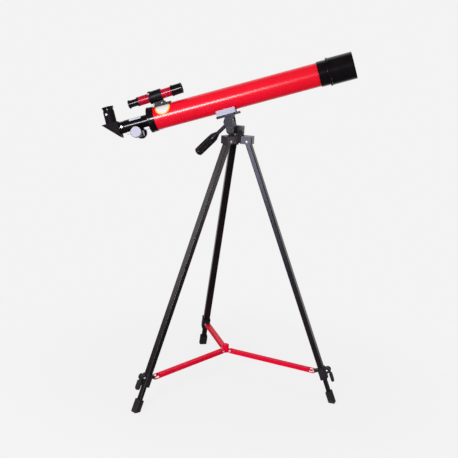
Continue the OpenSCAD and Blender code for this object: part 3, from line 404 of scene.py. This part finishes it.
# ---------------------------------------------------------------------------------- feet
# Black rubber boots pushed over the ends of the lower legs, cut level where they stand. Rubber
# is matt, dusty near the floor and finely pitted.
def boot_rubber(name, dark, dusty):
    """Pitted matt rubber, with dust that fades out two centimetres above the floor."""
    material, shader, where = surface(name, {"Specular IOR Level": 0.35})
    height = where.node("SeparateXYZ", None, {0: where}, "Z")
    pits = where.node("TexNoise", None, {"Vector": where, "Scale": 1300.0, "Detail": 3.0})
    dust = where.node("TexNoise", None, {"Vector": where, "Scale": 120.0, "Detail": 4.0})
    low = (1.0 - height.ease(0.0, 0.02)) * dust.ease(0.35, 0.7)
    low.mix(dark, dusty).to(shader, "Base Color")
    (0.62 + 0.2 * pits).to(shader, "Roughness")
    pits.bump(0.35, 0.00012).to(shader, "Normal")
    return material


rubber = boot_rubber("boot_rubber", paint(31, 27, 29), paint(52, 48, 48))
for leg in leg_angles:
    softened("foot_" + leg, 1.0, "boot_" + leg, rubber, "shin_" + leg, "rubber")


# ---------------------------------------------------------------------------------- spreader
# Three pressed steel channels that meet at a small hub over the floor, powder coated red. The
# coat has a fine texture and slow clouds of shade.
def powder_coat(name, dark, light):
    """Baked powder paint: slow clouds of shade and a fine raised texture."""
    material, shader, where = surface(name, {"Specular IOR Level": 0.06})
    clouds = where.node("TexNoise", None, {"Vector": where, "Scale": 30.0, "Detail": 4.0})
    texture = where.node("TexNoise", None, {"Vector": where, "Scale": 1500.0, "Detail": 3.0})
    clouds.ease(0.3, 0.7).mix(dark, light).to(shader, "Base Color")
    (0.3 + 0.14 * texture).to(shader, "Roughness")
    texture.bump(0.22, 0.00008).to(shader, "Normal")
    return material


spreader_red = powder_coat("spreader_red", paint(214, 4, 44), paint(226, 8, 52))
softened("spreader_hub", 0.5, "spreader_middle", spreader_red, "spreader", "red_spreader")
for leg in leg_angles:
    softened("spreader_arm_" + leg, 0.25, "spreader_channel_" + leg, spreader_red,
             "arm_" + leg, "red_spreader")
pins_low, pins_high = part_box("spreader_pins")
pin_out, pin_height = 13, 1000 * (pins_low.z + pins_high.z) / 2
work = bmesh.new()
for angle in leg_angles.values():
    domed_rivet(work, MM @ Matrix.Rotation(math.radians(angle), 4, "Z")
                @ Matrix.Translation((pin_out, 0, pin_height)) @ across, 6.8, 1.5, 2.8, 1.2)
piece(work, "spreader_rivets", bright_steel, "spreader", "bright_steel", "spreader_pins")


# ---------------------------------------------------------------------------------- pan base
# The turntable on the hub, with the upright that carries the tilt axle. Same grey plastic as
# the hub. A plated bolt holds it down, and a plated axle with a round head goes across.
softened("pan_base", 0.6, "turntable_casting", head_grey, "pan", "head_plastic")
dress(bright_steel, "tilt_axle")
dress(plated("dull_steel", paint(60, 58, 62), paint(84, 82, 86), 0.45, 0.8), "pan_bolt")


# ---------------------------------------------------------------------------------- tilt platform
# The tilting neck and the flat plate on top of it, one grey moulding. A thumbwheel in its
# window draws the telescope's foot down on the plate.
tilt_axle_at = (-14.5, 0, 666.4)
tilt_rest = 19.3
plate_screw_at = (5, 0, 0)
tilt_frame = MM @ Matrix.Translation(tilt_axle_at) @ Matrix.Rotation(math.radians(-tilt_rest), 4, "Y")
softened("tilt_platform", 0.7, "tilt_casting", head_grey, "tilt", "head_plastic")
upward = Matrix.Rotation(math.radians(-90), 4, "Y")
work = bmesh.new()
turn(work, [(20.7, 0), (20.7, 6.5), (25.7, 6.5), (25.7, 3.175), (44.25, 3.175), (44.25, 0)],
     tilt_frame @ Matrix.Translation(plate_screw_at) @ upward, 64, 0.4, (20.9, 25.5, 6.0, 0.35))
piece(work, "platform_thumbwheel", bright_steel, "platform_screw", "bright_steel", "platform_screw")


# ---------------------------------------------------------------------------------- pan handle
# A painted steel rod with a black plastic grip. The grip has a smooth cone next to the rod,
# then shallow flutes along it, and a rounded end.
handle_at = (-4, 0, 17.85)
handle_drop = 27
handle_frame = (tilt_frame @ Matrix.Translation(handle_at)
                @ Matrix.Rotation(math.radians(180 - handle_drop), 4, "Y"))
handle_paint = moulded("handle_paint", paint(40, 35, 39), paint(50, 45, 49), 0.34, 0.1)
dress(handle_paint, "handle_rod")
grip_black = moulded("grip_black", paint(22, 17, 19), paint(29, 23, 26), 0.34, 0.2, 0.6, 0.2)
work = bmesh.new()
turn(work, [(39.4, 4.75), (39.4, 5.5), (52.4, 10.5), (56.4, 11), (62, 11), (75, 11), (90, 11), (104, 11),
            (111, 11), (114, 8), (114, 0)], handle_frame, 72, 0.9, (60, 108, 10.0, 0.45))
piece(work, "grip_moulding", grip_black, "handle", "satin_plastic", "handle_grip")


# ---------------------------------------------------------------------------------- saddle block
# The silver foot under the tube: a bar of aluminium hollowed to the tube's round, with the
# marks of its sawing and polishing along it. Two screws from inside the tube hold it.
def drawn_aluminium(name, dark, light, rough, turned, stretch):
    """Bright aluminium with fine lines; turned and stretch lay the lines along the piece."""
    material, shader, where = surface(name, {"Metallic": 0.15, "Specular IOR Level": 0.3})
    laid = where.node("Mapping", {"vector_type": "TEXTURE"}, {"Vector": where, "Rotation": turned})
    laid = laid.node("Mapping", None, {"Vector": laid, "Scale": stretch})
    lines = laid.node("TexNoise", None, {"Vector": laid, "Scale": 1.0, "Detail": 4.0})
    stains = where.node("TexNoise", None, {"Vector": where, "Scale": 70.0, "Detail": 4.0})
    (0.6 * lines + 0.4 * stains).ease(0.3, 0.7).mix(dark, light).to(shader, "Base Color")
    (rough - 0.06 + 0.14 * lines).to(shader, "Roughness")
    lines.bump(0.15, 0.00004).to(shader, "Normal")
    return material


saddle_turn = 17
to_screw = Matrix.Translation(plate_screw_at)
saddle_frame = (tilt_frame @ to_screw @ Matrix.Rotation(math.radians(saddle_turn), 4, "Z")
                @ to_screw.inverted())
along_tube = tuple(saddle_frame.to_quaternion().to_euler())
block_silver = drawn_aluminium("block_silver", paint(170, 170, 186), paint(186, 186, 202), 0.55, along_tube,
                               (40.0, 1400.0, 1400.0))
softened("saddle_block", 0.5, "saddle_foot", block_silver, "tilt", "silver")
dress(bright_steel, "saddle_screws")


# ---------------------------------------------------------------------------------- main tube
# A rolled steel tube of 58 mm, sprayed gloss red and lacquered. Its two ends are rolled over,
# and handling has left faint rub marks in the gloss.
tube_rise = 74.25
tube_frame = saddle_frame @ Matrix.Translation((0, 0, tube_rise))


def lacquer(name, dark, light, gloss):
    """Gloss paint under lacquer, with slow clouds of shade and faint rub marks."""
    material, shader, where = surface(name, {"Coat Weight": gloss, "Coat Roughness": 0.24, "Coat IOR": 1.6,
                                             "Specular IOR Level": 0.04})
    clouds = where.node("TexNoise", None, {"Vector": where, "Scale": 12.0, "Detail": 3.0})
    rubs = where.node("TexNoise", None, {"Vector": where, "Scale": 90.0, "Detail": 6.0})
    clouds.ease(0.3, 0.7).mix(dark, light).to(shader, "Base Color")
    (0.2 + 0.1 * rubs).to(shader, "Roughness")
    return material


tube_red = lacquer("tube_red", paint(230, 0, 34), paint(236, 0, 38), 0.8)
work = bmesh.new()
turn(work, [(-174, 28), (-174, 28.7), (-173.7, 29), (-173, 29)] + [(x, 29) for x in range(-160, 240, 20)]
     + [(238, 29), (238.7, 29), (239, 28.7), (239, 28), (-174, 28)], tube_frame, 160)
piece(work, "tube_rolled", tube_red, "tilt", "red_tube", "main_tube")


# ---------------------------------------------------------------------------------- round sticker
# A printed paper disc on the near side of the tube, under the finder: a yellow ring round a
# pale middle. It is left without any print.
def printed(name, ink, faded):
    """Printed paper under a thin gloss film: the fibres show in colour and gloss."""
    material, shader, where = surface(name, {"Coat Weight": 0.4, "Coat Roughness": 0.12})
    fibres = where.node("TexNoise", None, {"Vector": where, "Scale": 800.0, "Detail": 4.0})
    fibres.ease(0.3, 0.7).mix(ink, faded).to(shader, "Base Color")
    (0.34 + 0.1 * fibres).to(shader, "Roughness")
    fibres.bump(0.08, 0.00004).to(shader, "Normal")
    return material


def wrap(work, centre_u, centre_angle, radius):
    """Bends a flat mesh, X along the tube and Y round it, on to a tube of that radius."""
    for v in work.verts:
        angle = math.radians(centre_angle) + v.co.y / radius
        r = radius + v.co.z
        v.co = (centre_u + v.co.x, -r * math.sin(angle), r * math.cos(angle))


sticker_radius, ring_wide, rim_wide = 19, 3.0, 0.3
work = bmesh.new()
bmesh.ops.create_circle(work, cap_ends=True, radius=sticker_radius, segments=72)
rim = bmesh.ops.inset_region(work, faces=work.faces[:], thickness=rim_wide, use_even_offset=True)["faces"]
ring = bmesh.ops.inset_region(work, faces=[f for f in work.faces if f not in rim], thickness=ring_wide,
                              use_even_offset=True)["faces"]
middle = [f for f in work.faces if f not in rim and f not in ring]
fan = bmesh.ops.poke(work, faces=middle)["faces"]
spokes = [e for f in fan for e in f.edges]
bmesh.ops.subdivide_edges(work, edges=list(set(spokes)), cuts=5, use_grid_fill=True)
for f in work.faces:
    outer = max(v.co.length for v in f.verts)
    f.material_index = 0 if outer > sticker_radius - ring_wide else 1
bmesh.ops.solidify(work, geom=work.faces[:], thickness=0.12)
wrap(work, -147.8, 43, 29.16)
bmesh.ops.recalc_face_normals(work, faces=work.faces[:])
bmesh.ops.transform(work, matrix=tube_frame, verts=work.verts)
piece(work, "round_sticker", [printed("sticker_yellow", paint(236, 186, 22), paint(244, 200, 40)),
                              printed("sticker_pale", paint(222, 218, 216), paint(238, 234, 232))],
      "tilt", "red_tube")


# ---------------------------------------------------------------------------------- objective
# The front cell is a black turned ring pushed into the tube. It holds a crown and a flint
# lens behind a screwed ring. Both lenses have a faint blue coating.
gloss_black = moulded("gloss_black", paint(14, 11, 13), paint(19, 15, 17), 0.26, 0.06, 0.5, 0.1)
work = bmesh.new()
turn(work, [(226, 24.5), (226, 27.95), (239.05, 27.95), (239.05, 30.95), (275.5, 30.95), (275.5, 25.6),
            (250.5, 25.6), (250.5, 24.5), (226, 24.5)], tube_frame, 128, 0.25)
piece(work, "front_cell", gloss_black, "tilt", "gloss_black", "objective_cell")


def coated_glass(name, tint):
    """Clear optical glass; faint cleaning marks show only in its gloss."""
    material, shader, where = surface(name, {"Base Color": tint, "Transmission Weight": 1.0, "IOR": 1.52,
                                             "Coat Weight": 0.6, "Coat Tint": paint(150, 170, 255)})
    wiped = where.node("TexNoise", None, {"Vector": where, "Scale": 60.0, "Detail": 5.0})
    (0.01 + 0.03 * wiped.ease(0.5, 0.8)).to(shader, "Roughness")
    return material


lens_glass = coated_glass("lens_glass", paint(244, 249, 252))
dress(lens_glass, "objective_lens")
dress(gloss_black, "lens_retainer")


# ---------------------------------------------------------------------------------- dew shield
# A black plastic hood pushed over the front cell, with a bead at its rear end and a step in
# its mouth for the cap. It is blackened inside.
work = bmesh.new()
turn(work, [(261.5, 31), (261.5, 34.3), (262.1, 34.6), (265.5, 34.6), (267, 33.3), (270, 33.3), (270.5, 33.1),
            (285, 33.1), (305, 33.1), (325.7, 33.1), (326.5, 32.6), (326.5, 31.55), (314.5, 31.55),
            (314.5, 31), (261.5, 31)], tube_frame, 128, 0.15)
piece(work, "dew_hood", gloss_black, "tilt", "gloss_black", "dew_shield")


# ---------------------------------------------------------------------------------- focuser
# One black moulding: a cell that plugs the rear of the tube, the sleeve that the draw tube
# slides in, and the gear box under it. A bare metal plate is stuck on top of the sleeve.
focuser_turn = 6
focuser_frame = tube_frame @ Matrix.Rotation(math.radians(-focuser_turn), 4, "X")
softened("focuser_housing", 0.35, "focuser_moulding", gloss_black, "tilt", "gloss_black")
dress(gloss_black, "pinion_cover", "focuser_screws")

plate_silver = drawn_aluminium("plate_silver", paint(214, 218, 234), paint(228, 232, 246), 0.45, along_tube,
                               (60.0, 1800.0, 1800.0))
work = bmesh.new()
bmesh.ops.create_grid(work, x_segments=18, y_segments=10, size=0.5)
plate_long, plate_wide = 30, 9
bmesh.ops.scale(work, vec=(plate_long, plate_wide, 1), verts=work.verts)
corners = [v for v in work.verts if len(v.link_faces) == 1]
bmesh.ops.bevel(work, geom=corners, offset=1.2, offset_type="OFFSET", segments=4, profile=0.5,
                affect="VERTICES", clamp_overlap=True, material=-1)
bmesh.ops.solidify(work, geom=work.faces[:], thickness=0.2)
wrap(work, -223.4, 38, 16.25)
bmesh.ops.recalc_face_normals(work, faces=work.faces[:])
bmesh.ops.transform(work, matrix=focuser_frame, verts=work.verts)
piece(work, "bare_plate", plate_silver, "tilt", "silver")


# ---------------------------------------------------------------------------------- focus knobs
# Two black moulded wheels on the pinion's shaft, with a ribbed rim for the fingers and a bright
# spun disc let into the outer face of each.
pinion_at = (-224, 0, -22.3)
pinion_frame = focuser_frame @ Matrix.Translation(pinion_at)
work = bmesh.new()
for side in (-90, 90):
    turn(work, [(26, 2.55), (26, 5.2), (30, 5.2), (31, 12), (26.6, 12), (26, 13.2), (26.8, 14), (29, 14),
                (32, 14), (34.7, 14), (35.5, 13.2), (35.5, 13.05), (34.8, 13.05), (34.8, 2.55), (26, 2.55)],
         pinion_frame @ Matrix.Rotation(math.radians(side), 4, "Z"), 96, 0.12, (27.2, 34.4, 13.6, 0.5))
piece(work, "knob_wheels", gloss_black, "pinion", "gloss_black", "focus_knobs")


def spun_disc(name, place, dark, light):
    """Spun aluminium: fine rings about the Y axis of a frame."""
    material, shader, where = surface(name, {"Specular IOR Level": 0.15})
    middle = where.node("Mapping", {"vector_type": "TEXTURE"}, {
        "Vector": where, "Location": place.translation, "Rotation": place.to_quaternion().to_euler()})
    flat = middle.node("VectorMath", {"operation": "MULTIPLY"}, {0: middle, 1: (1.0, 0.0, 1.0)})
    out = flat.node("VectorMath", {"operation": "LENGTH"}, {0: flat}, "Value")
    rings = out.node("TexNoise", {"noise_dimensions": "1D"}, {"W": out, "Scale": 4200.0, "Detail": 3.0})
    rings.ease(0.3, 0.7).mix(dark, light).to(shader, "Base Color")
    (0.5 + 0.12 * rings).to(shader, "Roughness")
    rings.bump(0.2, 0.00003).to(shader, "Normal")
    return material


disc_silver = spun_disc("disc_silver", pinion_frame, paint(184, 182, 198), paint(196, 194, 210))
dress(disc_silver, "knob_caps")
dress(bright_steel, "focus_pinion", "focus_rack")


# ---------------------------------------------------------------------------------- draw tube
# A black plastic tube that the rack moves in and out, with a collar at its end and a thumb
# screw that grips the diagonal. The screw is bright, with a ribbed head.
def thumb_screw(work, place, length):
    """A ribbed thumb screw along X, with its tip at zero."""
    head = length - 5.5
    turn(work, [(0, 0), (0, 1.5), (head, 1.5), (head, 2.9), (head + 2.5, 2.9), (length, 2.9), (length, 0)],
         place, 40, 0.25, (head + 0.5, length - 0.4, 2.6, 0.25))


dress(gloss_black, "draw_tube")
work = bmesh.new()
thumb_screw(work, focuser_frame @ Matrix.Translation((-258.8, -12.55, 0))
            @ Matrix.Rotation(math.radians(-90), 4, "Z"), 9.55)
piece(work, "draw_thumb_screw", bright_steel, "diagonal_screw", "bright_steel", "diagonal_screw")


# ---------------------------------------------------------------------------------- diagonal
# A right-angled black moulding with a mirror behind its long face, under a screwed-on cover.
# Its holder points up at right angles to the tube and takes the eyepiece.
holder_at = (-285.6, 0, 0)
holder_frame = focuser_frame @ Matrix.Translation(holder_at)
diagonal_black = moulded("diagonal_black", paint(18, 14, 17), paint(25, 20, 23), 0.46, 0.25, 0.0, 0.05)
softened("diagonal_body", 0.5, "diagonal_moulding", diagonal_black, "diagonal", "gloss_black")
softened("diagonal_cover", 0.4, "diagonal_lid", diagonal_black, "diagonal", "gloss_black")


def silvered(name):
    """A front-silvered mirror with a little haze."""
    material, shader, where = surface(name, {"Metallic": 1.0, "Base Color": paint(238, 240, 242)})
    haze = where.node("TexNoise", None, {"Vector": where, "Scale": 90.0, "Detail": 4.0})
    (0.02 + 0.03 * haze).to(shader, "Roughness")
    return material


dress(silvered("mirror_silver"), "diagonal_mirror")
work = bmesh.new()
thumb_screw(work, holder_frame @ Matrix.Rotation(math.radians(262), 4, "Z")
            @ Matrix.Translation((12.55, 0, 39)), 8.05)
piece(work, "eyepiece_thumb_screw", bright_steel, "eyepiece_screw", "bright_steel", "eyepiece_screw")


# ---------------------------------------------------------------------------------- eyepiece
# A black barrel of 24.5 mm with a wider head. The head has a ribbed grip band and a turned-out
# rim with a sunk eye lens.
work = bmesh.new()
turn(work, [(24, 8), (24, 12.25), (48.05, 12.25), (48.05, 12.8), (49, 12.9), (50.5, 13), (52, 13.1),
            (53.5, 13.25), (54.5, 13.4), (56.5, 15), (58.5, 15), (58.5, 12), (54.5, 5), (50, 5), (50, 8),
            (24, 8)], holder_frame @ upward, 84, 0.2, (49.4, 53.8, 12.9, 0.3))
piece(work, "eyepiece_barrel", gloss_black, "eyepiece", "gloss_black", "eyepiece")
dress(lens_glass, "eyepiece_lenses")


# ---------------------------------------------------------------------------------- finder
# A small straight finder in a black ring and stalk. Three thumb screws at the ring's rear aim
# it. Its tube is red like the big one, with a black shade in front and a black eyepiece.
finder_along, finder_rise, finder_tilt = -160, 53, 2.5
finder_frame = (tube_frame @ Matrix.Translation((finder_along, 0, finder_rise))
                @ Matrix.Rotation(math.radians(-finder_tilt), 4, "Y")
                @ Matrix.Translation((-finder_along, 0, 0)))
stalk_black = moulded("stalk_black", paint(14, 11, 13), paint(19, 15, 17), 0.4, 0.1, 0.0, 0.22)
softened("finder_bracket", 0.4, "finder_stalk", stalk_black, "tilt", "gloss_black")
work = bmesh.new()
turn(work, [(-202.5, 10), (-202.5, 11.3), (-202.3, 11.5), (-201.8, 11.5), (-112.5, 11.5), (-112.2, 11.5),
            (-112, 11.3), (-112, 10), (-202.5, 10)], finder_frame, 96)
finder_red = lacquer("finder_red", paint(172, 0, 38), paint(182, 0, 42), 0.5)
piece(work, "finder_barrel", finder_red, "tilt", "red_tube", "finder_tube")
work = bmesh.new()
turn(work, [(-118, 11.55), (-118, 13.9), (-114, 13.9), (-113, 13.2), (-95, 12.9), (-94, 13.2), (-91, 13.2),
            (-91, 11.55), (-118, 11.55)], finder_frame, 96, 0.2)
piece(work, "finder_hood", gloss_black, "tilt", "gloss_black", "finder_shade")
dress(lens_glass, "finder_lens")
work = bmesh.new()
turn(work, [(-230.8, 4), (-230.8, 9.4), (-229.6, 10.9), (-226.8, 10.9), (-224.8, 9.2), (-217, 9.2),
            (-208.5, 9.2), (-207.5, 11.5), (-204.5, 11.5), (-202.8, 11.5), (-202.8, 9.94), (-188.5, 9.94),
            (-188.5, 7), (-224.8, 7), (-224.8, 4), (-230.8, 4)], finder_frame, 96, 0.2,
     (-207.1, -203.3, 11.2, 0.25))
piece(work, "finder_eye_tube", gloss_black, "finder_eyepiece", "gloss_black", "finder_eyepiece")

work = bmesh.new()
for angle in (60, -60, 180):
    place = (finder_frame @ Matrix.Rotation(math.radians(angle), 4, "X")
             @ Matrix.Translation((-173.4, 0, 11.55)) @ upward)
    turn(work, [(0, 0), (0, 1.5), (4.7, 1.5), (4.7, 2.6), (6, 2.6), (7.7, 2.6), (7.7, 0)], place, 36, 0.2,
         (5.0, 7.4, 2.4, 0.22))
for side in (-9.5, 9.5):
    turn(work, [(23, 0), (23, 1.5), (32.65, 1.5), (32.65, 2.9), (33.8, 2.9), (34.6, 2.2), (35.05, 0.9),
                (35.05, 0)],
         tube_frame @ Matrix.Translation((-147, side, 0)) @ upward, 36, 0.1)
piece(work, "finder_fasteners", bright_steel, "tilt", "bright_steel", "finder_screws")


# ---------------------------------------------------------------------------------- picture
# Colours are shown as they are lit.
bpy.context.scene.view_settings.view_transform = "Standard"
